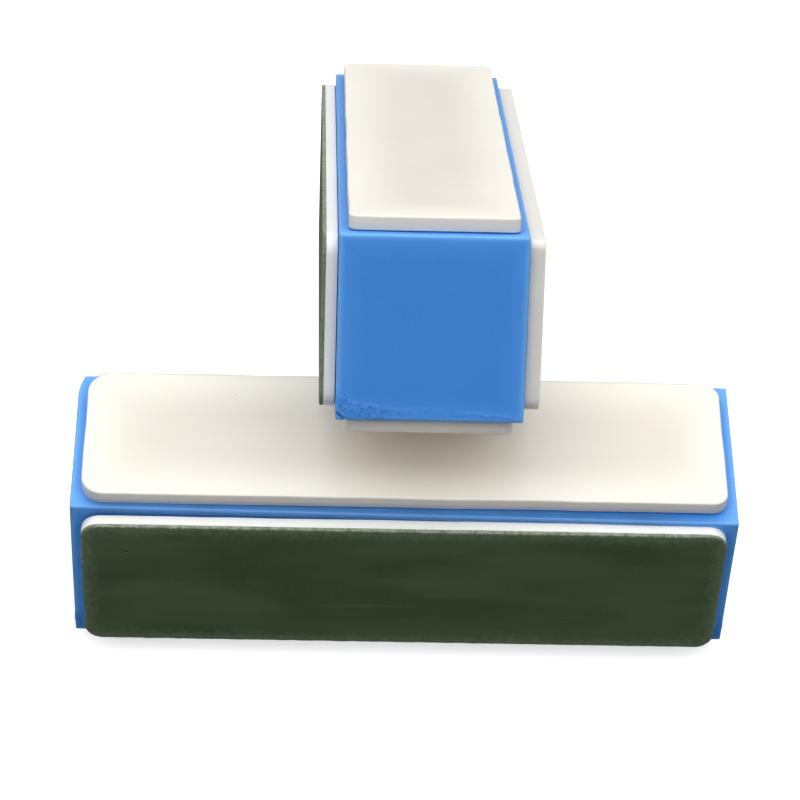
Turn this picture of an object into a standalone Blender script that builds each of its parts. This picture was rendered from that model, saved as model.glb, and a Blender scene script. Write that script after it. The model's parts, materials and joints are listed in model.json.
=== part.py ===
"""Pair of four-sided magnetic cleaning blocks, metres, +Z up.

The lower block lies flat on its bottom plate with its length along X. The upper block is the
same assembly, turned a quarter turn: it points along Y, leans on the lower block's back top
edge and stands on its heel. The origin is the middle of the lower block's resting face.
"""
import math

import bmesh
import bpy
from mathutils import Vector

MM = 0.001

# Core: a nearly square bar, cut square at both ends.
CORE_LENGTH = 91.0 * MM
CORE_WIDTH = 25.0 * MM
CORE_HEIGHT = 25.6 * MM
CORE_EDGE = 0.4 * MM

# Plates: one on each long face, standing proud of the core.
END_MARGIN = 1.5 * MM
TOP_MARGIN = 1.2 * MM
PAD_MARGIN = 0.85 * MM
PLATE_PROUD = 2.2 * MM
PLATE_CORNER = 3.0 * MM
PLATE_EDGE = 0.4 * MM
FACING_THICKNESS = 0.45 * MM
FACING_EDGE = 0.15 * MM
FACING_GAP = 0.1 * MM

# Adhesive tape between core and plate, set in from the plate's outline.
TAPE_THICKNESS = 0.25 * MM
TAPE_GAP = 0.15 * MM
TAPE_INSET = 0.6 * MM

# Magnet pocket, cut into the core behind the scrubbing pad.
FIT_GAP = 0.3 * MM
POCKET_LENGTH = 74.0 * MM
POCKET_HEIGHT = 17.0 * MM
POCKET_DEPTH = 9.6 * MM
KEEPER_THICKNESS = 1.5 * MM
MAGNET_COUNT = 4
MAGNET_LENGTH = 15.0 * MM
MAGNET_HEIGHT = 12.0 * MM
MAGNET_THICKNESS = 5.0 * MM
MAGNET_PITCH = 17.6 * MM
MAGNET_EDGE = 0.4 * MM

# How the upper block leans on the lower one.
LEAN = math.radians(28.5)
UPPER_OFFSET_X = 2.6 * MM
LEAN_GAP = 0.15 * MM

# Worked out from the driving dimensions.
HALF_SECTION = CORE_HEIGHT / 2 + PLATE_PROUD
PLATE_LENGTH = CORE_LENGTH - 2 * END_MARGIN
TOP_PLATE_WIDTH = CORE_WIDTH - 2 * TOP_MARGIN
PAD_PLATE_WIDTH = CORE_HEIGHT - 2 * PAD_MARGIN
PLATE_FOOT = 2 * TAPE_GAP + TAPE_THICKNESS
PLATE_THICKNESS = PLATE_PROUD - PLATE_FOOT
BACKING_THICKNESS = PLATE_THICKNESS - FACING_GAP - FACING_THICKNESS
CORNER_SEGMENTS = 6
EDGE_SEGMENTS = 2

MATERIALS = {
    "core_blue": ((0.065, 0.310, 0.890), 0.55, 0.0),
    "plate_white": ((0.850, 0.820, 0.750), 0.38, 0.0),
    "facing_green": ((0.056, 0.100, 0.040), 0.65, 0.0),
    "tape_grey": ((0.060, 0.130, 0.320), 0.60, 0.0),
    "tray_plastic": ((0.035, 0.035, 0.040), 0.50, 0.0),
    "magnet_ferrite": ((0.060, 0.060, 0.065), 0.55, 0.4),
    "keeper_steel": ((0.560, 0.570, 0.580), 0.30, 1.0),
}


def clear_scene():
    for obj in list(bpy.data.objects):
        bpy.data.objects.remove(obj, do_unlink=True)


def make_collection(name):
    collection = bpy.data.collections.new(name)
    bpy.context.scene.collection.children.link(collection)
    return collection


def make_material(name):
    colour, roughness, metallic = MATERIALS[name]
    material = bpy.data.materials.new(name)
    material.use_nodes = True
    shader = material.node_tree.nodes["Principled BSDF"]
    shader.inputs["Base Color"].default_value = (*colour, 1.0)
    shader.inputs["Roughness"].default_value = roughness
    shader.inputs["Metallic"].default_value = metallic
    return material


def box_mesh(name, size, corner_radius=0.0):
    """A box whose four edges along local Z are rounded by corner_radius."""
    mesh = bpy.data.meshes.new(name)
    bm = bmesh.new()
    bmesh.ops.create_cube(bm, size=1.0)
    bmesh.ops.scale(bm, vec=Vector(size), verts=bm.verts)
    if corner_radius > 0:
        upright = [e for e in bm.edges if abs(e.verts[0].co.z - e.verts[1].co.z) > size[2] / 2]
        bmesh.ops.bevel(bm, geom=upright, offset=corner_radius, offset_type="OFFSET",
                        segments=CORNER_SEGMENTS, profile=0.5, affect="EDGES")
    bm.to_mesh(mesh)
    bm.free()
    return mesh


def add_object(name, mesh, parent, collection, location, rotation=(0, 0, 0)):
    obj = bpy.data.objects.new(name, mesh)
    collection.objects.link(obj)
    obj.parent = parent
    obj.location = location
    obj.rotation_euler = rotation
    return obj


def round_edges(obj, width):
    bevel = obj.modifiers.new("edge_round", "BEVEL")
    bevel.width = width
    bevel.segments = EDGE_SEGMENTS
    bevel.limit_method = "ANGLE"
    bevel.angle_limit = math.radians(40)


def cut(obj, cutter):
    cutter.hide_render = True
    cutter.display_type = "WIRE"
    boolean = obj.modifiers.new("cut", "BOOLEAN")
    boolean.operation = "DIFFERENCE"
    boolean.solver = "EXACT"
    boolean.object = cutter


class Block:
    """One cleaning block in its own frame: length X, scrubbing pad on -Y, top +Z."""

    # Turns about the block's length that carry the top plate to each long face.
    SIDES = {
        "top": 0.0,
        "pad": math.radians(90),
        "bottom": math.radians(180),
        "rear": math.radians(-90),
    }

    def __init__(self, prefix, frame, parts, cutters, materials):
        self.prefix = prefix
        self.frame = frame
        self.parts = parts
        self.cutters = cutters
        self.materials = materials

    def part(self, name, material, size, location, rotation=(0, 0, 0), corner=0.0, edge=0.0):
        full_name = f"{self.prefix}_{name}"
        mesh = box_mesh(full_name, size, corner)
        mesh.materials.append(self.materials[material])
        obj = add_object(full_name, mesh, self.frame, self.parts, location, rotation)
        if edge > 0:
            round_edges(obj, edge)
        return obj

    def cutter(self, name, size, location, rotation=(0, 0, 0)):
        full_name = f"{self.prefix}_{name}_cutter"
        mesh = box_mesh(full_name, size)
        return add_object(full_name, mesh, self.frame, self.cutters, location, rotation)

    def layer(self, side, name, material, start, thickness, inset=0.0, edge=0.0):
        """A flat layer on one long face, from start to start + thickness above the core."""
        turn = self.SIDES[side]
        if side in ("top", "bottom"):
            half_core, width = CORE_HEIGHT / 2, TOP_PLATE_WIDTH
        else:
            half_core, width = CORE_WIDTH / 2, PAD_PLATE_WIDTH
        height = half_core + start + thickness / 2
        location = (0, -math.sin(turn) * height, math.cos(turn) * height)
        size = (PLATE_LENGTH - 2 * inset, width - 2 * inset, thickness)
        self.part(name, material, size, location, (turn, 0, 0), PLATE_CORNER - inset, edge)

    def pocket_layer(self, name, material, top_depth, thickness, edge=0.0):
        """A flat piece that fills the pocket's outline, top_depth below the core's face."""
        centre = -CORE_WIDTH / 2 + top_depth + thickness / 2
        size = (POCKET_LENGTH - 2 * FIT_GAP, POCKET_HEIGHT - 2 * FIT_GAP, thickness)
        return self.part(name, material, size, (0, centre, 0), (math.radians(90), 0, 0), edge=edge)

    def core(self):
        size = (CORE_LENGTH, CORE_WIDTH, CORE_HEIGHT)
        core = self.part("core_block", "core_blue", size, (0, 0, 0), edge=CORE_EDGE)
        overshoot = 1.0 * MM
        depth = POCKET_DEPTH + overshoot
        centre = -CORE_WIDTH / 2 + POCKET_DEPTH - depth / 2
        pocket = self.cutter("pocket", (POCKET_LENGTH, depth, POCKET_HEIGHT), (0, centre, 0))
        cut(core, pocket)

    def magnet_pack(self):
        """Keeper at the bottom of the pocket, magnets in their tray on it, lid on top."""
        keeper_top = POCKET_DEPTH - FIT_GAP - KEEPER_THICKNESS
        self.pocket_layer("steel_keeper", "keeper_steel", keeper_top, KEEPER_THICKNESS)
        tray_top = keeper_top - FIT_GAP - MAGNET_THICKNESS
        tray = self.pocket_layer("magnet_tray", "tray_plastic", tray_top, MAGNET_THICKNESS)
        centre = -CORE_WIDTH / 2 + tray_top + MAGNET_THICKNESS / 2
        window = (MAGNET_LENGTH + 2 * FIT_GAP, 2 * MAGNET_THICKNESS, MAGNET_HEIGHT + 2 * FIT_GAP)
        magnet = (MAGNET_LENGTH, MAGNET_THICKNESS, MAGNET_HEIGHT)
        for index in range(MAGNET_COUNT):
            x = (index - (MAGNET_COUNT - 1) / 2) * MAGNET_PITCH
            cut(tray, self.cutter(f"window_{index + 1}", window, (x, centre, 0)))
            self.part(f"magnet_{index + 1}", "magnet_ferrite", magnet, (x, centre, 0),
                      edge=MAGNET_EDGE)
        lid_thickness = tray_top - FIT_GAP
        self.pocket_layer("pocket_lid", "core_blue", 0.0, lid_thickness)

    def plates(self):
        for side in self.SIDES:
            self.layer(side, f"{side}_tape", "tape_grey", TAPE_GAP, TAPE_THICKNESS, TAPE_INSET)
        for side in ("top", "bottom", "rear"):
            self.layer(side, f"{side}_plate", "plate_white", PLATE_FOOT, PLATE_THICKNESS,
                       edge=PLATE_EDGE)
        self.layer("pad", "pad_backing", "plate_white", PLATE_FOOT, BACKING_THICKNESS)
        self.layer("pad", "scrub_facing", "facing_green", PLATE_PROUD - FACING_THICKNESS,
                   FACING_THICKNESS, edge=FACING_EDGE)

    def build(self):
        self.core()
        self.magnet_pack()
        self.plates()


def make_frame(name, collection, location, rotation, parent=None):
    empty = bpy.data.objects.new(name, None)
    collection.objects.link(empty)
    empty.location = location
    empty.rotation_euler = rotation
    empty.parent = parent
    return empty


def leaning_centre():
    """Centre of the upper block: heel on the ground, underside on the lower block's edge."""
    sine = math.sin(LEAN)
    cosine = math.cos(LEAN)
    edge_y = TOP_PLATE_WIDTH / 2 + LEAN_GAP * sine
    edge_z = 2 * HALF_SECTION + LEAN_GAP * cosine
    heel_drop = PLATE_EDGE * (sine + cosine - 1)
    heel_y = edge_y + (edge_z + heel_drop) * cosine / sine
    centre_y = heel_y - PLATE_LENGTH / 2 * cosine + HALF_SECTION * sine
    centre_z = PLATE_LENGTH / 2 * sine + HALF_SECTION * cosine - heel_drop
    return (UPPER_OFFSET_X, centre_y, centre_z)


def main():
    clear_scene()
    parts = make_collection("magnetic_glass_cleaner")
    cutters = make_collection("cutters")
    materials = {name: make_material(name) for name in MATERIALS}

    lower_frame = make_frame("lower_block", parts, (0, 0, HALF_SECTION), (0, 0, 0))
    Block("lower", lower_frame, parts, cutters, materials).build()

    lean_frame = make_frame("upper_block_lift", parts, leaning_centre(), (-LEAN, 0, 0))
    turned = (0, 0, math.radians(-90))
    upper_frame = make_frame("upper_block", parts, (0, 0, 0), turned, lean_frame)
    Block("upper", upper_frame, parts, cutters, materials).build()

    bpy.context.view_layer.update()


main()
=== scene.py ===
"""Looks of the pair of magnetic cleaning blocks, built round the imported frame."""
import json
import math

import bpy
import numpy as np
from mathutils import Matrix, Vector, noise


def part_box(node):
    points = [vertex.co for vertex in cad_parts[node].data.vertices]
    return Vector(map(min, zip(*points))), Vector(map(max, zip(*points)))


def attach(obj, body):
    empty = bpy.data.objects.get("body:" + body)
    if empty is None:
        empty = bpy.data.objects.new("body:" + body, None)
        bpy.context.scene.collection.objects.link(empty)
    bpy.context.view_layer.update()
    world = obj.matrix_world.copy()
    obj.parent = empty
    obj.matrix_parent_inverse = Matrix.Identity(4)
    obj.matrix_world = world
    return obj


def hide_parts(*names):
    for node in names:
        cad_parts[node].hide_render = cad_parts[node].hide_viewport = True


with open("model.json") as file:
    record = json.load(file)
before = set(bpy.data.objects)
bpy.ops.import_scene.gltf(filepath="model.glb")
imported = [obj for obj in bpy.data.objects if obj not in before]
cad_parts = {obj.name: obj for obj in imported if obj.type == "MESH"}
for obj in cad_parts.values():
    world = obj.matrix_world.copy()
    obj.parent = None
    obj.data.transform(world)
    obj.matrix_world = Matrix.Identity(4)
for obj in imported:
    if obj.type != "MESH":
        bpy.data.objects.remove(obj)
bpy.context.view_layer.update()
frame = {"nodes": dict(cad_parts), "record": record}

MM = 0.001

QUARTER_TURN = math.radians(90)

# How the upper block lies: a quarter turn, so that its pad faces -X, then tilted about X.
LEAN = math.radians(28.5)
BLOCKS = ("lower", "upper")

# Camera.
CAMERA_TARGET = Vector((-0.00056, 0.00926, 0.02743))
CAMERA_DISTANCE = 0.4802
CAMERA_AZIMUTH = math.radians(2.53)
CAMERA_ELEVATION = math.radians(47.06)
CAMERA_ROLL = math.radians(2.94)
CAMERA_LENS = 154.26

# Strength of the soft light from above the horizon and from below it, and where one turns
# into the other.
SKY_GLOW = 0.58
GROUND_GLOW = 0.06
HORIZON = (-0.15, 0.25)
# How far the bright part of the surroundings reaches down behind and beside the object.
SKY_LEAN = 0.60
SKY_SIDE = 0.50
LIGHT_TARGET = Vector((0, 0.01, 0.03))
# The floor lies just below the blocks, so that it doesn't share a face with them.
FLOOR_DROP = -0.2 * MM
FLOOR_WHITE = (0.90, 0.90, 0.90)
FLOOR_GLOW = 0.55

# Edge radii, and how far the plates' faces bulge.
CORE_EDGE = 0.25 * MM
PLATE_EDGE = 0.28 * MM
PLATE_FOOT = 0.05 * MM
PLATE_CROWN = 0.025 * MM
BACKING_EDGE = 0.12 * MM
FACING_EDGE = 0.25 * MM
FACING_FOOT = 0.06 * MM
FACING_CROWN = 0.03 * MM
TAPE_EDGE = 0.03 * MM
# Space between core and plate on each side, and the small gaps that keep the pieces apart.
PLATE_GAPS = {"top": 0.22 * MM, "pad": 0.12 * MM, "bottom": 0.16 * MM, "rear": 0.12 * MM}
TAPE_GAP = 0.01 * MM
TAPE_INSET = 0.22 * MM
FACING_GAP = 0.02 * MM
POCKET_CLEARANCE = 0.3 * MM

# Corner radii: +X -Y, +X +Y, -X +Y, -X -Y in the face's own frame. Each sheet is cut by hand.
CORNERS = {
    ("lower", "top"): (2.1 * MM, 2.5 * MM, 3.4 * MM, 3.0 * MM),
    ("upper", "top"): (1.3 * MM, 1.0 * MM, 1.8 * MM, 1.8 * MM),
    ("upper", "bottom"): (1.6 * MM, 1.6 * MM, 2.4 * MM, 2.4 * MM),
    ("upper", "rear"): (1.2 * MM, 2.2 * MM, 2.4 * MM, 2.4 * MM),
}
USUAL_CORNERS = (2.6 * MM,) * 4
# How much narrower a plate was cut, and how far off the middle it was stuck on.
TRIMS = {("lower", "top"): (0.20 * MM, -0.10 * MM), ("lower", "rear"): (0.40 * MM, 0.40 * MM)}
# How much of the painted shade on the other plates' sides the sides of the rear plates get.
REAR_WALL_SHADE_SHARE = 0.4

# How far the lower core's front top edge runs askew, and how much its -X +Y corner is worn.
SKEW_BACK = 0.32 * MM
SKEW_UP = 0.24 * MM
WORN_CORNER = 0.80 * MM
WORN_REACH = 3.6 * MM
# The strip of painted shade on the lower core between top plate and pad: its inner and outer
# distance from the front edge, and how far it takes to build up from the -X and the +X end.
STRIP_SHADE_FROM = 1.6 * MM
STRIP_SHADE_FULL = 1.2 * MM
STRIP_SHADE_FADES = (4.0 * MM, 14.0 * MM)

# The upper core's cut across one lower corner: its box, its distances from the pad side and
# from the bottom, and its slope.
CORNER_CUT = (1.2 * MM, 0.28 * MM, 3.0 * MM)
CORNER_CUT_IN = 0.70 * MM
CORNER_CUT_UP = 0.55 * MM
CORNER_CUT_SLOPE = math.radians(50)
# The nick in the lower facing: its box, its place along the block and up it, and its slope.
NICK = (0.65 * MM, 0.5 * MM, 0.34 * MM)
NICK_PLACE = (-37.9 * MM, 6.8 * MM)
NICK_SLOPE = math.radians(20)
NICK_REACH = 0.5 * MM
NICK_FLOOR = 0.1 * MM
# The rim distance given to the nick's points, so that it doesn't get the painted rim highlight.
NICK_RIM = 3.6 * MM

# Unevenness of the end faces in mm: height, then wavelength across the block and up it.
SAW_MARKS = (0.010, 7.0, 1.1)
BAND_DRAG = (0.05, 5.0, 0.55)
CORNER_LUMPS = (0.10, 0.9, 0.7)
BAND_PITS = (0.06, 0.9, 0.5)
# Thickness in mm of the glue in its band, and of the bead along the top of the band.
BAND_THICKNESS = 0.03
BEAD_THICKNESS = 0.045

# How far the cut outlines wander, and over what length.
CORE_WOBBLE = (0.03 * MM, 9.0 * MM)
TAPE_WOBBLE = (0.10 * MM, 5.0 * MM)
PLATE_WOBBLE = (0.12 * MM, 11.0 * MM)
BACKING_WOBBLE = (0.08 * MM, 9.0 * MM)
FACING_WOBBLE = (0.08 * MM, 2.4 * MM)
# Length of an outline's segments on the coarse, middle and fine pieces.
COARSE = 1.2 * MM
MIDDLE = 0.8 * MM
FINE = 0.3 * MM
CORE_SPACING = 0.25 * MM

# Seeds of the noise, so that blocks, ends and sides differ.
END_SEEDS = {"lower": 3.1, "upper": 8.7}
MINUS_END_SEED = 4.4
CORE_SEED = 1.7
TAPE_SEED = 4.0
PLATE_SEEDS = {"lower": 11.0, "upper": 16.0}
PAD_SEEDS = {"lower": 21.0, "upper": 27.0}

# Colours of the core, the plates and backings, and the facings.
BLUES = {
    "shade": (0.054, 0.268, 0.790),
    "light": (0.068, 0.305, 0.850),
    "grain": (0.064, 0.310, 0.870),
    # Painted shade for the strip between the lower top plate and the pad, which the plates keep
    # light off.
    "strip_shade": (0.054, 0.200, 0.500),
    # Painted highlights along the core's edges: wide and faint, narrow on the ends, and a thin line
    # right on the edge.
    "edge_highlight": (0.105, 0.400, 0.980),
    "end_edge_highlight": (0.165, 0.490, 1.000),
    "ridge": (0.150, 0.400, 0.860),
    "light_speck": (0.150, 0.390, 0.840),
    "dark_speck": (0.024, 0.120, 0.400),
}
WHITES = {
    # The plates' middle tones, then the painted sheen that brightens each face towards its rim.
    "middle_dark": (0.772, 0.730, 0.652),
    "middle_light": (0.832, 0.789, 0.712),
    "rim_sheen": (0.955, 0.908, 0.824),
    "speck": (0.45, 0.43, 0.38),
    # Painted shade on the plates' sides.
    "wall": (0.745, 0.715, 0.660),
    "foam_shade": (0.90, 0.90, 0.84),
    "foam_light": (0.98, 0.98, 0.93),
}
GREENS = {
    "shade": (0.046, 0.084, 0.032),
    "light": (0.072, 0.120, 0.052),
    "band": (0.094, 0.145, 0.074),
    "grain": (0.115, 0.172, 0.092),
    "streak": (0.140, 0.205, 0.115),
    # Painted highlight near the facing's rim.
    "rim_highlight": (0.200, 0.262, 0.176),
    "frayed": (0.300, 0.345, 0.265),
    "torn": (0.035, 0.055, 0.028),
    # Painted shade at the bottom of the nick.
    "pit": (0.006, 0.010, 0.005),
}


# ---------------------------------------------------------------- frame helpers

def size_of(node):
    low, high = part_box(node)
    return high - low


def centre_of(node):
    low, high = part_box(node)
    return (low + high) / 2


def block_matrix(prefix):
    """From a block's own frame (length X, pad -Y, top +Z) to the row frame."""
    place = Matrix.Translation(centre_of(f"{prefix}_core_block"))
    if prefix == "lower":
        return place
    return place @ Matrix.Rotation(-LEAN, 4, "X") @ Matrix.Rotation(-QUARTER_TURN, 4, "Z")


CORE = size_of("lower_core_block")
HALF_Y = CORE.y / 2
HALF_Z = CORE.z / 2
TOP_PLATE = size_of("lower_top_plate")
PAD_PLATE = size_of("lower_rear_plate")
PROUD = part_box("lower_top_plate")[1].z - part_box("lower_core_block")[1].z
BACKING_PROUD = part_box("lower_core_block")[0].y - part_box("lower_pad_backing")[0].y
POCKET = size_of("lower_pocket_lid")
# How far a side is turned about the block's length from the top.
SIDE_TURNS = {"top": 0.0, "pad": QUARTER_TURN, "bottom": 2 * QUARTER_TURN, "rear": -QUARTER_TURN}


# ---------------------------------------------------------------- mesh building

class Outline:
    """A rectangle with rounded corners, with the same count of points at every inset."""

    SIGNS = ((1, -1), (1, 1), (-1, 1), (-1, -1))

    def __init__(self, length, width, corners, spacing, arc_steps=8):
        self.half = np.array((length / 2, width / 2))
        self.corners = corners
        self.arc_steps = arc_steps
        self.steps = [max(2, round(2 * (h - corners[0]) / spacing)) for h in self.half]

    def ring(self, inset):
        """Points and outward normals, anticlockwise from the +X -Y corner."""
        radii = [max(corner - inset, 0.05 * corner) for corner in self.corners]
        centres = [(self.half - inset - radius) * np.array(sign)
                   for radius, sign in zip(radii, self.SIGNS)]
        points = []
        normals = []
        for k, centre in enumerate(centres):
            start = QUARTER_TURN * (k - 1)
            for i in range(self.arc_steps + 1):
                angle = start + QUARTER_TURN * i / self.arc_steps
                normal = np.array((math.cos(angle), math.sin(angle)))
                points.append(centre + radii[k] * normal)
                normals.append(normal)
            following = centres[(k + 1) % 4] + radii[(k + 1) % 4] * normal
            last = points[-1]
            steps = self.steps[1] if k % 2 == 0 else self.steps[0]
            for i in range(1, steps):
                points.append(last + (following - last) * i / steps)
                normals.append(normal)
        return np.array(points), np.array(normals)


def fractal(x, y, seed, octaves=3):
    """Smooth noise of about -1 to 1 over a plane, in units of its wavelength."""
    value = 0.0
    gain = 1.0
    for k in range(octaves):
        value += gain * noise.noise(Vector((x * 2 ** k, y * 2 ** k, seed + 7.3 * k)))
        gain *= 0.5
    return value


def ring_faces(rings, count):
    """Quads between rings of count points, and one face on each end."""
    faces = []
    for low in range(0, (rings - 1) * count, count):
        high = low + count
        for i in range(count):
            j = (i + 1) % count
            faces.append((low + i, low + j, high + j, high + i))
    faces.append(tuple(reversed(range(count))))
    faces.append(tuple(range((rings - 1) * count, rings * count)))
    return faces


def ring_mesh(name, outline, profile, wobble, seed, relief=None):
    """A closed solid from rings (inset, height). Its outline wanders by wobble: (reach, length).

    relief(x, y, height) may lift a point of the flat ends. The attribute rim holds each point's
    distance from the outline in metres, rounded off at the corners, and wall is 1 on the sides.
    """
    reach, wavelength = wobble
    outer, _ = outline.ring(0.0)
    shifts = np.array([reach * fractal(*(p / wavelength), seed) for p in outer])
    vertices = []
    rims = []
    walls = []
    for inset, height in profile:
        points, normals = outline.ring(inset)
        fade = math.exp(-inset / (1.5 * MM))
        points = points + normals * (shifts * fade)[:, None]
        for x, y in points:
            lift = relief(x, y, height) if relief else 0.0
            vertices.append((x, y, height + lift))
            to_side = [max(h - abs(c), 0.01 * MM) for h, c in zip(outline.half, (x, y))]
            rims.append(sum(d ** -3 for d in to_side) ** (-1 / 3))
            walls.append(max(0.0, 1.0 - inset / (0.15 * MM)))
    mesh = bpy.data.meshes.new(name)
    mesh.from_pydata(vertices, [], ring_faces(len(profile), len(outer)))
    mesh.validate()
    mesh.attributes.new("rim", "FLOAT", "POINT").data.foreach_set("value", rims)
    mesh.attributes.new("wall", "FLOAT", "POINT").data.foreach_set("value", walls)
    mesh.shade_smooth()
    mesh.set_sharp_from_angle(angle=math.radians(35))
    return mesh


def rounded_profile(low, high, foot, edge, crown, insets, steps=4):
    """Rings of a plate: small foot round, wall, rounded rim, then the crowned face."""
    profile = [(foot, low), (foot * 0.3, low + foot * 0.3), (0.0, low + foot)]
    profile.append((0.0, (low + foot + high - edge) / 2))
    for k in range(steps + 1):
        angle = QUARTER_TURN * k / steps
        profile.append((edge * (1 - math.cos(angle)), high - edge + edge * math.sin(angle) - crown))
    for inset in insets:
        profile.append((inset, high - crown * math.exp(-(inset - edge) / (2.0 * MM))))
    return profile


def place(mesh, name, prefix, material, slot, turn=0.0):
    """Turns the mesh about the block's length and sets it on its block."""
    mesh.transform(Matrix.Rotation(turn, 4, "X"))
    mesh.materials.append(material)
    obj = bpy.data.objects.new(name, mesh)
    bpy.context.scene.collection.objects.link(obj)
    obj.matrix_world = block_matrix(prefix)
    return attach(obj, f"{prefix}_block")


def subtract(obj, size, location, roll=0.0):
    """Cuts a box out of obj. It is placed in obj's own frame and rolled about its X axis."""
    bpy.ops.mesh.primitive_cube_add(size=1.0)
    cutter = bpy.context.object
    turn = Matrix.LocRotScale(Vector(location), None, None)
    turn = turn @ Matrix.Rotation(roll, 4, "X")
    cutter.data.transform(turn @ Matrix.Diagonal((*size, 1.0)))
    cutter.matrix_world = obj.matrix_world
    modifier = obj.modifiers.new("cut", "BOOLEAN")
    modifier.solver = "EXACT"
    modifier.object = cutter
    graph = bpy.context.evaluated_depsgraph_get()
    mesh = bpy.data.meshes.new_from_object(obj.evaluated_get(graph), depsgraph=graph)
    obj.modifiers.remove(modifier)
    obj.data = mesh
    bpy.data.objects.remove(cutter)


# ---------------------------------------------------------------- materials

class Nodes:
    """Short ways to build one material's node tree."""

    def __init__(self, name):
        self.material = bpy.data.materials.new(name)
        self.material.use_nodes = True
        self.tree = self.material.node_tree
        self.shader = self.tree.nodes["Principled BSDF"]

    def node(self, kind, **settings):
        made = self.tree.nodes.new(kind)
        for key, value in settings.items():
            setattr(made, key, value)
        return made

    def link(self, source, target):
        self.tree.links.new(source, target)

    def feed(self, socket, value):
        if isinstance(value, bpy.types.NodeSocket):
            self.link(value, socket)
        else:
            socket.default_value = value

    def coords(self, stretch=(1, 1, 1)):
        mapping = self.node("ShaderNodeMapping")
        mapping.inputs["Scale"].default_value = stretch
        self.link(self.node("ShaderNodeTexCoord").outputs["Object"], mapping.inputs["Vector"])
        return mapping.outputs["Vector"]

    def attribute(self, name):
        return self.node("ShaderNodeAttribute", attribute_name=name).outputs["Fac"]

    def noise(self, scale, detail=3.0, roughness=0.55, stretch=(1, 1, 1)):
        """Noise whose features are about scale metres across."""
        made = self.node("ShaderNodeTexNoise")
        made.inputs["Scale"].default_value = 1.0 / scale
        made.inputs["Detail"].default_value = detail
        made.inputs["Roughness"].default_value = roughness
        self.link(self.coords(stretch), made.inputs["Vector"])
        return made.outputs["Fac"]

    def ramp(self, value, low, high, start=0.0, end=1.0):
        """Smoothly from start, where the value is low, to end, where it is high."""
        made = self.node("ShaderNodeMapRange", interpolation_type="SMOOTHSTEP")
        for socket, number in zip(made.inputs[1:5], (low, high, start, end)):
            socket.default_value = number
        self.link(value, made.inputs["Value"])
        return made.outputs["Result"]

    def math(self, operation, a, b=0.0):
        made = self.node("ShaderNodeMath", operation=operation)
        self.feed(made.inputs[0], a)
        self.feed(made.inputs[1], b)
        return made.outputs["Value"]

    def mix(self, factor, a, b):
        made = self.node("ShaderNodeMix", data_type="RGBA")
        self.feed(made.inputs["Factor"], factor)
        for socket, value in ((made.inputs[6], a), (made.inputs[7], b)):
            self.feed(socket, value if isinstance(value, bpy.types.NodeSocket) else (*value, 1.0))
        return made.outputs[2]

    def colour(self, value):
        self.feed(self.shader.inputs["Base Color"], value)

    def roughness(self, value):
        self.feed(self.shader.inputs["Roughness"], value)

    def bump(self, height, distance, strength=1.0, below=None):
        made = self.node("ShaderNodeBump")
        made.inputs["Distance"].default_value = distance
        made.inputs["Strength"].default_value = strength
        self.link(height, made.inputs["Height"])
        if below is not None:
            self.link(below, made.inputs["Normal"])
        self.link(made.outputs["Normal"], self.shader.inputs["Normal"])
        return made.outputs["Normal"]

    def subsurface(self, weight, radius, scale):
        self.shader.inputs["Subsurface Weight"].default_value = weight
        self.shader.inputs["Subsurface Radius"].default_value = radius
        self.shader.inputs["Subsurface Scale"].default_value = scale


def core_material():
    """Satin blue: painted highlights along its edges, painted shade in the strip beside the lower
    top plate, and specked glue where the smear attribute is.
    """
    n = Nodes("core_blue")
    grain = n.noise(0.35 * MM, 4.0)
    cloud = n.noise(9.0 * MM, 2.0)
    base = n.mix(cloud, BLUES["shade"], BLUES["light"])
    base = n.mix(n.ramp(grain, 0.35, 0.70), base, BLUES["grain"])
    smear = n.attribute("smear")
    bare = n.math("SUBTRACT", 1.0, smear)
    on_end = n.attribute("on_end")
    # Painted shade in the lower core's strip between top plate and pad.
    strip_shade = n.math("MULTIPLY", n.attribute("strip_shade"), n.ramp(cloud, 0.2, 0.6, 0.75, 1.0))
    base = n.mix(strip_shade, base, BLUES["strip_shade"])
    # The painted highlight along the edges is wide and faint everywhere, and narrow and strong on
    # the ends.
    ridge = n.attribute("ridge")
    edge = n.math("ADD", ridge, n.ramp(grain, 0.3, 0.7, 0.0, 0.2 * MM))
    wide = n.math("MULTIPLY", n.ramp(edge, 4.0 * MM, 0.2 * MM, 0.0, 0.45), bare)
    # The wide painted highlight is held back in the painted shade strip.
    wide = n.math("MULTIPLY", wide, n.math("SUBTRACT", 1.0, strip_shade))
    base = n.mix(wide, base, BLUES["edge_highlight"])
    narrow = n.math("MULTIPLY", n.ramp(edge, 1.1 * MM, 0.1 * MM, 0.0, 0.90), bare)
    base = n.mix(n.math("MULTIPLY", narrow, on_end), base, BLUES["end_edge_highlight"])
    # A narrow painted highlight line right along the core's edges.
    base = n.mix(n.ramp(ridge, 0.45 * MM, 0.15 * MM, 0.0, 0.5), base, BLUES["ridge"])
    specks = n.noise(0.42 * MM, 3.0, 0.7, stretch=(1, 0.6, 1))
    light_speck = n.math("MULTIPLY", n.ramp(specks, 0.53, 0.62), smear)
    dark_speck = n.math("MULTIPLY", n.ramp(specks, 0.47, 0.38), smear)
    base = n.mix(n.math("MULTIPLY", light_speck, 0.65), base, BLUES["light_speck"])
    base = n.mix(n.math("MULTIPLY", dark_speck, 0.55), base, BLUES["dark_speck"])
    n.colour(base)
    n.roughness(n.ramp(grain, 0.2, 0.8, 0.34, 0.50))
    fine = n.bump(grain, 0.03 * MM, 0.20)
    n.bump(n.math("MULTIPLY", specks, smear), 0.10 * MM, 0.8, fine)
    n.subsurface(0.35, (0.35, 0.7, 1.0), 1.6 * MM)
    return n.material


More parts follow.
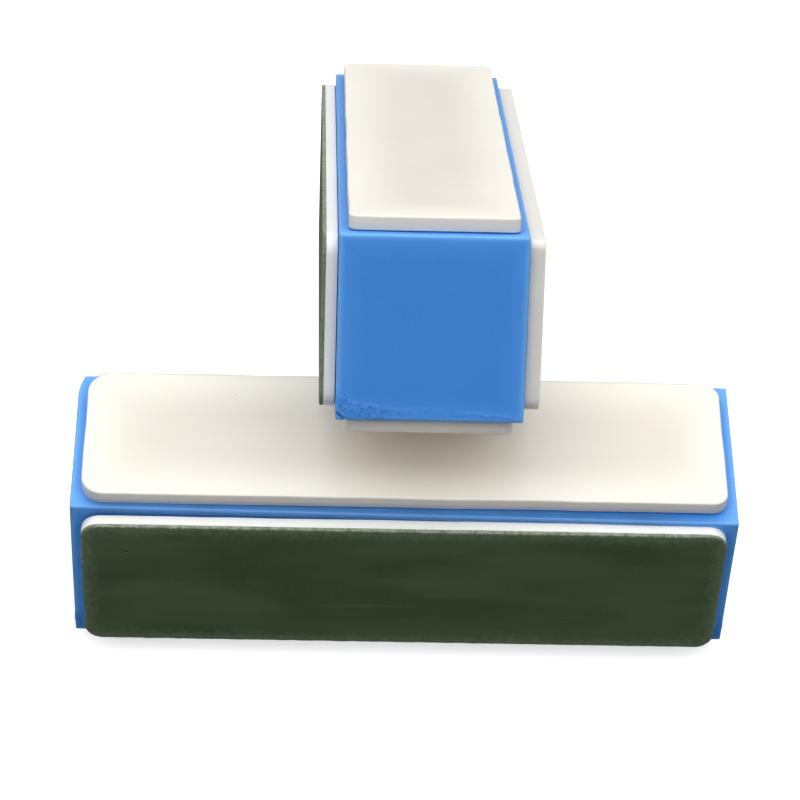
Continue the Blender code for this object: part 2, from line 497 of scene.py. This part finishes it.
def plate_material():
    """Satin white, painted darker in the middle and brighter towards its rim as a painted sheen,
    with painted shade on its sides; the foam attribute marks the pad's backing.
    """
    n = Nodes("plate_white")
    rim = n.attribute("rim")
    grain = n.noise(0.25 * MM, 4.0)
    cloud = n.noise(14.0 * MM, 2.0)
    # Painted sheen: the face is darker in the middle and brighter towards its rim.
    wear_and_dim_middle = n.mix(cloud, WHITES["middle_dark"], WHITES["middle_light"])
    base = n.mix(n.ramp(rim, 8.0 * MM, 0.3 * MM), wear_and_dim_middle, WHITES["rim_sheen"])
    specks = n.noise(1.3 * MM, 2.0, 0.8)
    base = n.mix(n.ramp(specks, 0.73, 0.80, 0.0, 0.30), base, WHITES["speck"])
    # Painted shade on the plates' sides.
    base = n.mix(n.attribute("wall"), base, WHITES["wall"])
    foam = n.mix(grain, WHITES["foam_shade"], WHITES["foam_light"])
    base = n.mix(n.attribute("foam"), base, foam)
    n.colour(base)
    n.roughness(n.ramp(cloud, 0.3, 0.7, 0.30, 0.42))
    fine = n.bump(grain, 0.02 * MM, 0.25)
    n.bump(n.noise(5.0 * MM, 2.0), 0.10 * MM, 0.25, fine)
    n.subsurface(0.25, (1.0, 0.8, 0.6), 1.2 * MM)
    return n.material


def facing_material():
    """Dark green grit with bands and streaks along it, a painted highlight near its rim, frayed at
    its top and painted shade where the pit attribute is.
    """
    n = Nodes("facing_green")
    rim = n.attribute("rim")
    grain = n.noise(0.18 * MM, 5.0, 0.7)
    cloud = n.noise(8.0 * MM, 3.0, 0.6)
    streak = n.noise(1.4 * MM, 3.0, 0.6, stretch=(0.07, 1, 1))
    bands = n.noise(7.0 * MM, 2.0, 0.5, stretch=(0.25, 1, 1))
    crumbs = n.noise(0.9 * MM, 4.0, 0.75)
    base = n.mix(cloud, GREENS["shade"], GREENS["light"])
    base = n.mix(n.ramp(bands, 0.38, 0.62, 0.0, 0.65), base, GREENS["band"])
    base = n.mix(n.ramp(grain, 0.45, 0.80, 0.0, 0.4), base, GREENS["grain"])
    base = n.mix(n.ramp(streak, 0.62, 0.76, 0.0, 0.30), base, GREENS["streak"])
    apart = n.node("ShaderNodeSeparateXYZ")
    n.link(n.coords(), apart.inputs["Vector"])
    upper = n.ramp(apart.outputs["Z"], 8.0 * MM, 11.5 * MM, 0.30, 1.0)
    # Painted highlight near the facing's rim, made ragged by the crumbs noise.
    near = n.math("ADD", rim, n.ramp(crumbs, 0.3, 0.7, 0.0, 1.4 * MM))
    rim_highlight = n.ramp(near, 3.2 * MM, 0.2 * MM)
    base = n.mix(n.math("MULTIPLY", rim_highlight, 0.65), base, GREENS["rim_highlight"])
    close = n.math("ADD", rim, n.ramp(crumbs, 0.35, 0.65, 0.0, 0.55 * MM))
    frayed = n.ramp(close, 0.50 * MM, 0.20 * MM)
    base = n.mix(n.math("MULTIPLY", frayed, upper), base, GREENS["frayed"])
    torn = n.math("MULTIPLY", n.ramp(rim, 0.9 * MM, 0.4 * MM), n.ramp(crumbs, 0.42, 0.33))
    base = n.mix(n.math("MULTIPLY", torn, upper), base, GREENS["torn"])
    # Painted shade at the bottom of the nick.
    base = n.mix(n.attribute("pit"), base, GREENS["pit"])
    n.colour(base)
    n.roughness(n.ramp(streak, 0.3, 0.7, 0.48, 0.66))
    fine = n.bump(grain, 0.05 * MM, 0.5)
    n.bump(streak, 0.04 * MM, 0.3, fine)
    return n.material


def simple_material(name, tones, feature, roughness, metallic=0.0, stretch=(1, 1, 1), depth=0.03):
    """Two close tones with a matching bump, for the tape and the pieces inside."""
    dark, light = tones
    n = Nodes(name)
    pattern = n.noise(feature, 4.0, 0.6, stretch)
    n.colour(n.mix(n.ramp(pattern, 0.3, 0.7), dark, light))
    n.roughness(n.ramp(pattern, 0.3, 0.7, roughness - 0.08, roughness + 0.08))
    n.shader.inputs["Metallic"].default_value = metallic
    n.bump(pattern, depth * MM, 0.5)
    return n.material


# The adhesive film is a real layer, but its tones are darkened so the thin line at each plate's
# foot reads as shade: partly painted shade.
TAPE_TONES = ((0.028, 0.080, 0.240), (0.050, 0.125, 0.340))
TRAY_TONES = ((0.022, 0.022, 0.026), (0.040, 0.040, 0.046))
FERRITE_TONES = ((0.040, 0.040, 0.044), (0.085, 0.084, 0.088))
STEEL_TONES = ((0.470, 0.480, 0.490), (0.600, 0.610, 0.620))
ROLLED = (0.04, 1, 1)

MATERIALS = {
    "core_blue": core_material(),
    "plate_white": plate_material(),
    "facing_green": facing_material(),
    "tape_grey": simple_material("tape_grey", TAPE_TONES, 0.4 * MM, 0.6),
    "tray_plastic": simple_material("tray_plastic", TRAY_TONES, 0.3 * MM, 0.5),
    "magnet_ferrite": simple_material("magnet_ferrite", FERRITE_TONES, 0.5 * MM, 0.5, 0.4),
    "keeper_steel": simple_material("keeper_steel", STEEL_TONES, 0.4 * MM, 0.32, 1.0, ROLLED, 0.01),
}


# ---------------------------------------------------------------- pieces

def smooth(value, low, high):
    """0 at low, 1 at high, smooth between."""
    t = min(1.0, max(0.0, (value - low) / (high - low)))
    return t * t * (3 - 2 * t)


def smear_parts(y, z, seed):
    """Glue dragged over an end face: a band along its bottom, the band's bead, the rough corner
    towards the pad and a pitted stretch beside it."""
    up = (z + HALF_Z) / MM
    from_pad = (y + HALF_Y) / MM
    top = 2.0 + 0.35 * fractal(from_pad / 7.0, seed, seed, 2) - 0.05 * from_pad
    top += 1.6 * math.exp(-from_pad / 3.0)
    band = smooth(up, top + 0.3, top - 0.3)
    present = smooth(fractal(from_pad / 4.0, 2.0, seed, 2), -0.25, 0.35)
    bead = math.exp(-(((up - top) / 0.20) ** 2)) * present
    reach = math.hypot(up / 4.4, from_pad / 2.4) + 0.25 * fractal(up / 1.5, from_pad / 1.5, seed)
    corner = smooth(reach, 1.15, 0.70)
    pits = band * smooth(from_pad, 9.0, 5.0)
    return band, bead, corner, pits


def end_seed(prefix, along):
    """The seed of the end that a place along the block belongs to."""
    return END_SEEDS[prefix] + (0.0 if along > 0 else MINUS_END_SEED)


def ripple(kind, y, z, seed):
    """Unevenness in mm of one kind: (height, wavelength across, wavelength up)."""
    height, across, up = kind
    return height * fractal(y / (across * MM), z / (up * MM), seed)


def end_relief(prefix):
    """Height of an end face's saw marks and dragged glue, for points of the ring frame."""

    def relief(y, z, height):
        if abs(height) < CORE.x / 2 - 0.01 * MM:
            return 0.0
        seed = end_seed(prefix, height)
        band, bead, corner, pits = smear_parts(y, z, seed)
        lift = ripple(SAW_MARKS, y, z, seed)
        lift += BAND_THICKNESS * band + BEAD_THICKNESS * bead
        lift += band * ripple(BAND_DRAG, y, z, seed + 2)
        lift += corner * ripple(CORNER_LUMPS, y, z, seed + 5)
        lift += pits * ripple(BAND_PITS, y, z, seed + 6)
        inward = min(HALF_Y - abs(y), HALF_Z - abs(z)) / MM
        return math.copysign(lift * MM * smooth(inward, 0.15, 0.5), height)

    return relief


def uneven(point):
    """The lower core as it was sawn: front top edge a little askew, one corner worn."""
    x, y, z = point
    front = smooth(y, 0.0, -HALF_Y)
    top = smooth(z, 0.0, HALF_Z)
    along = x / (CORE.x / 2)
    wear_and_dim_middle = max(0.0, (y - HALF_Y + WORN_REACH) / WORN_REACH) ** 2 * smooth(x, 0.0, -CORE.x / 2)
    return Vector((
        x + WORN_CORNER * wear_and_dim_middle,
        y - SKEW_BACK * along * front * top,
        z - SKEW_UP * along * front * top,
    ))


def core_profile(half_length):
    """Rings from the middle of one end face, round its edge and along to the other one's."""
    rounding = [QUARTER_TURN * k / 3 for k in range(4)]
    fine = [0.25 * k for k in range(19, 1, -1)]
    insets = [11.5, 10.0, 8.5, 7.0, 5.8, 5.2] + fine
    face = [(i * MM, -half_length) for i in insets]
    for angle in rounding:
        drop = CORE_EDGE * (1 - math.cos(angle))
        face.append((CORE_EDGE * (1 - math.sin(angle)), -half_length + drop))
    straight = half_length - CORE_EDGE
    body = [(0.0, x) for x in np.linspace(-straight, straight, 24)[1:-1]]
    return face + body + [(inset, -x) for inset, x in reversed(face)]


def strip_shade_amount(x, y, z):
    """How much painted shade a point of the lower core gets: only the strip between top plate and
    pad gets it.
    """
    if z <= 0:
        return 0.0
    half_length = CORE.x / 2
    across = smooth(y, -HALF_Y + STRIP_SHADE_FROM, -HALF_Y + STRIP_SHADE_FULL)
    from_minus, from_plus = STRIP_SHADE_FADES
    along = smooth(x, -half_length, -half_length + from_minus)
    return across * along * smooth(x, half_length, half_length - from_plus)


def paint_core(mesh, prefix):
    """Marks glue, ends, edges and the painted shade strip for the core's material.

    On a block's surface, the second smallest distance from its sides is the nearest edge's.
    """
    half_length = CORE.x / 2
    marks = {"smear": [], "on_end": [], "ridge": [], "strip_shade": []}
    for vertex in mesh.vertices:
        x, y, z = vertex.co
        from_sides = sorted((half_length - abs(x), HALF_Y - abs(y), HALF_Z - abs(z)))
        band, bead, corner, pits = smear_parts(y, z, end_seed(prefix, x))
        on_end = smooth(abs(x), half_length - 1.0 * MM, half_length - 0.3 * MM)
        glue = min(1.0, 0.35 * band + 0.4 * bead + corner + 0.6 * pits)
        marks["smear"].append(on_end * glue)
        marks["on_end"].append(on_end)
        marks["ridge"].append(from_sides[1])
        marks["strip_shade"].append(strip_shade_amount(x, y, z) if prefix == "lower" else 0.0)
    for name, values in marks.items():
        mesh.attributes.new(name, "FLOAT", "POINT").data.foreach_set("value", values)


def cut_pocket(core):
    """Opens the magnet pocket on the pad side, back to just behind the keeper."""
    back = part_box("lower_steel_keeper")[1].y + POCKET_CLEARANCE
    front = -HALF_Y - 1 * MM
    length = POCKET.x + 2 * POCKET_CLEARANCE
    height = POCKET.z + 2 * POCKET_CLEARANCE
    subtract(core, (length, back - front, height), (0, (back + front) / 2, 0))


def make_core(prefix):
    """Sawn bar with softly rounded edges, open pocket and dragged glue on its ends."""
    name = f"{prefix}_core"
    profile = core_profile(CORE.x / 2)
    outline = Outline(CORE.y, CORE.z, (CORE_EDGE,) * 4, CORE_SPACING, arc_steps=3)
    mesh = ring_mesh(name, outline, profile, CORE_WOBBLE, CORE_SEED, end_relief(prefix))
    # The rings are stacked along Z: carry their x, y, z to the block's Y, Z, X.
    mesh.transform(Matrix(((0, 0, 1, 0), (1, 0, 0, 0), (0, 1, 0, 0), (0, 0, 0, 1))))
    paint_core(mesh, prefix)
    if prefix == "lower":
        for vertex in mesh.vertices:
            vertex.co = uneven(vertex.co)
    core = place(mesh, name, prefix, MATERIALS["core_blue"], "core_blue")
    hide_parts(f"{prefix}_core_block")
    bpy.context.view_layer.update()
    cut_pocket(core)
    if prefix == "upper":
        corner = (CORE.x / 2, -HALF_Y + CORNER_CUT_IN, -HALF_Z + CORNER_CUT_UP)
        subtract(core, CORNER_CUT, corner, CORNER_CUT_SLOPE)


def face_of(side):
    """The half height of the core under a face, and the plate's size on it."""
    if side in ("top", "bottom"):
        return HALF_Z, TOP_PLATE.x, TOP_PLATE.y
    return HALF_Y, PAD_PLATE.x, PAD_PLATE.z


def make_tape(prefix, side):
    """The adhesive film behind a plate or backing, set in a little from its outline."""
    half, length, width = face_of(side)
    corners = [c - TAPE_INSET for c in CORNERS.get((prefix, side), USUAL_CORNERS)]
    outline = Outline(length - 2 * TAPE_INSET, width - 2 * TAPE_INSET, corners, COARSE)
    low = half + TAPE_GAP
    high = half + PLATE_GAPS[side] - TAPE_GAP
    rise = 0.02 * MM
    profile = [(TAPE_EDGE, low), (0.0, low + rise), (0.0, high - rise), (TAPE_EDGE, high)]
    turn = SIDE_TURNS[side]
    name = f"{prefix}_{side}_tape_film"
    mesh = ring_mesh(name, outline, profile, TAPE_WOBBLE, TAPE_SEED + turn)
    tape = place(mesh, name, prefix, MATERIALS["tape_grey"], "tape_grey", turn)
    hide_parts(f"{prefix}_{side}_tape")


def make_plate(prefix, side):
    """A white rubbing plate: hand-cut outline, rounded rim and slightly crowned face."""
    half, length, width = face_of(side)
    trim, shift = TRIMS.get((prefix, side), (0.0, 0.0))
    corners = CORNERS.get((prefix, side), USUAL_CORNERS)
    outline = Outline(length, width - trim, corners, MIDDLE)
    insets = [i * MM for i in (0.5, 0.8, 1.2, 1.7, 2.4, 3.4, 4.6, 6.0, 7.6, 9.4)]
    low = half + PLATE_GAPS[side]
    profile = rounded_profile(low, half + PROUD, PLATE_FOOT, PLATE_EDGE, PLATE_CROWN, insets)
    turn = SIDE_TURNS[side]
    name = f"{prefix}_{side}_rubbing_plate"
    mesh = ring_mesh(name, outline, profile, PLATE_WOBBLE, PLATE_SEEDS[prefix] + turn)
    mesh.transform(Matrix.Translation((0, shift, 0)))
    # The rear plates' sides get only part of the painted side shade.
    if side == "rear":
        for wall in mesh.attributes["wall"].data:
            wall.value *= REAR_WALL_SHADE_SHARE
    plate = place(mesh, name, prefix, MATERIALS["plate_white"], "plate_white", turn)
    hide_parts(f"{prefix}_{side}_plate")


def make_backing(prefix):
    """The scrubbing pad's white backing, marked as foam for its material."""
    half, length, width = face_of("pad")
    outline = Outline(length, width, USUAL_CORNERS, MIDDLE)
    insets = [i * MM for i in (0.6, 1.6, 4.0, 9.0)]
    low = half + PLATE_GAPS["pad"]
    high = half + BACKING_PROUD
    profile = rounded_profile(low, high, PLATE_FOOT, BACKING_EDGE, 0.0, insets, steps=2)
    name = f"{prefix}_pad_foam_backing"
    mesh = ring_mesh(name, outline, profile, BACKING_WOBBLE, PAD_SEEDS[prefix])
    foam = mesh.attributes.new("foam", "FLOAT", "POINT").data
    foam.foreach_set("value", [1.0] * len(foam))
    turn = SIDE_TURNS["pad"]
    backing = place(mesh, name, prefix, MATERIALS["plate_white"], "plate_white", turn)
    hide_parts(f"{prefix}_pad_backing")
    return backing


def nick_facing(facing, front):
    """A small nick in the facing, with painted shade at its bottom."""
    x, z = NICK_PLACE
    subtract(facing, NICK, (x, front, z), NICK_SLOPE)
    mesh = facing.data
    mesh.attributes.new("pit", "FLOAT", "POINT")
    for vertex in mesh.vertices:
        if math.hypot(vertex.co.x - x, vertex.co.z - z) < NICK_REACH:
            deep = vertex.co.y > front + NICK_FLOOR
            mesh.attributes["rim"].data[vertex.index].value = NICK_RIM
            mesh.attributes["wall"].data[vertex.index].value = 0.0
            mesh.attributes["pit"].data[vertex.index].value = float(deep)


def make_facing(prefix):
    """The scrubbing pad's thin green facing, with a ragged edge."""
    half, length, width = face_of("pad")
    outline = Outline(length, width, USUAL_CORNERS, FINE, arc_steps=16)
    insets = [i * MM for i in (0.5, 0.8, 1.2, 1.8, 2.6, 4.0, 6.0, 9.0)]
    low = half + BACKING_PROUD + FACING_GAP
    profile = rounded_profile(low, half + PROUD, FACING_FOOT, FACING_EDGE, FACING_CROWN, insets)
    name = f"{prefix}_green_facing"
    mesh = ring_mesh(name, outline, profile, FACING_WOBBLE, PAD_SEEDS[prefix] + 1)
    turn = SIDE_TURNS["pad"]
    facing = place(mesh, name, prefix, MATERIALS["facing_green"], "facing_green", turn)
    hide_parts(f"{prefix}_scrub_facing")
    if prefix == "lower":
        nick_facing(facing, -half - PROUD)
    return facing


def make_pad(prefix):
    """One block's scrubbing pad: its white backing and its green facing."""
    backing = make_backing(prefix)
    facing = make_facing(prefix)


def finish_inner_pieces():
    """The pieces inside keep their CAD shape and get their finished materials."""
    slots = {s["node"]: s["material_slot"] for s in frame["record"]["subparts"]}
    for name, obj in frame["nodes"].items():
        obj.data.materials.clear()
        obj.data.materials.append(MATERIALS[slots[name]])


# ---------------------------------------------------------------- studio

def make_floor():
    """A white floor that glows a little, and neither lights the blocks nor shows in them."""
    bpy.ops.mesh.primitive_plane_add(size=6.0)
    floor = bpy.context.object
    floor.name = "studio_floor"
    floor.location.z = FLOOR_DROP
    n = Nodes("studio_floor")
    n.colour((*FLOOR_WHITE, 1.0))
    n.roughness(0.9)
    n.shader.inputs["Emission Color"].default_value = (1, 1, 1, 1)
    n.shader.inputs["Emission Strength"].default_value = FLOOR_GLOW
    floor.data.materials.append(n.material)
    floor.visible_diffuse = False
    floor.visible_glossy = False


def make_area_light(name, location, size, power):
    data = bpy.data.lights.new(name, "AREA")
    data.shape = "SQUARE"
    data.size = size
    data.energy = power
    light = bpy.data.objects.new(name, data)
    bpy.context.scene.collection.objects.link(light)
    light.location = location
    towards = LIGHT_TARGET - Vector(location)
    light.rotation_euler = towards.to_track_quat("-Z", "Y").to_euler()


def make_sky():
    """Soft light all round: bright above, behind and beside, and dim below and in front."""
    world = bpy.data.worlds.new("studio")
    world.use_nodes = True
    tree = world.node_tree
    background = tree.nodes["Background"]
    generated = tree.nodes.new("ShaderNodeTexCoord").outputs["Generated"]
    parts = tree.nodes.new("ShaderNodeSeparateXYZ")
    tree.links.new(generated, parts.inputs[0])
    aside = tree.nodes.new("ShaderNodeMath")
    aside.operation = "ABSOLUTE"
    tree.links.new(parts.outputs["X"], aside.inputs[0])
    joined = tree.nodes.new("ShaderNodeCombineXYZ")
    tree.links.new(aside.outputs[0], joined.inputs["X"])
    tree.links.new(parts.outputs["Y"], joined.inputs["Y"])
    tree.links.new(parts.outputs["Z"], joined.inputs["Z"])
    slope = tree.nodes.new("ShaderNodeVectorMath")
    slope.operation = "DOT_PRODUCT"
    slope.inputs[1].default_value = (SKY_SIDE, SKY_LEAN, 1.0)
    tree.links.new(joined.outputs[0], slope.inputs[0])
    height = tree.nodes.new("ShaderNodeMapRange")
    for socket, number in zip(height.inputs[1:5], (*HORIZON, GROUND_GLOW, SKY_GLOW)):
        socket.default_value = number
    tree.links.new(slope.outputs["Value"], height.inputs["Value"])
    tree.links.new(height.outputs["Result"], background.inputs["Strength"])
    background.inputs["Color"].default_value = (1, 1, 1, 1)
    bpy.context.scene.world = world


def make_camera():
    back = Vector((
        -math.sin(CAMERA_AZIMUTH) * math.cos(CAMERA_ELEVATION),
        -math.cos(CAMERA_AZIMUTH) * math.cos(CAMERA_ELEVATION),
        math.sin(CAMERA_ELEVATION),
    ))
    data = bpy.data.cameras.new("camera")
    data.lens = CAMERA_LENS
    data.sensor_width = 36.0
    data.clip_start = 0.01
    camera = bpy.data.objects.new("camera", data)
    bpy.context.scene.collection.objects.link(camera)
    turn = back.to_track_quat("Z", "Y").to_matrix() @ Matrix.Rotation(CAMERA_ROLL, 3, "Z")
    camera.matrix_world = Matrix.LocRotScale(CAMERA_TARGET + back * CAMERA_DISTANCE, turn, None)
    bpy.context.scene.camera = camera


make_camera()
finish_inner_pieces()
for block in BLOCKS:
    make_core(block)
    for side_name in SIDE_TURNS:
        make_tape(block, side_name)
    for side_name in ("top", "bottom", "rear"):
        make_plate(block, side_name)
    make_pad(block)
make_floor()
make_area_light("overhead_softbox", (0.0, 0.02, 0.75), 1.3, 6.4)
make_area_light("front_fill", (-0.35, -0.8, 0.5), 0.6, 0.45)
make_sky()
bpy.context.scene.view_settings.view_transform = "Standard"
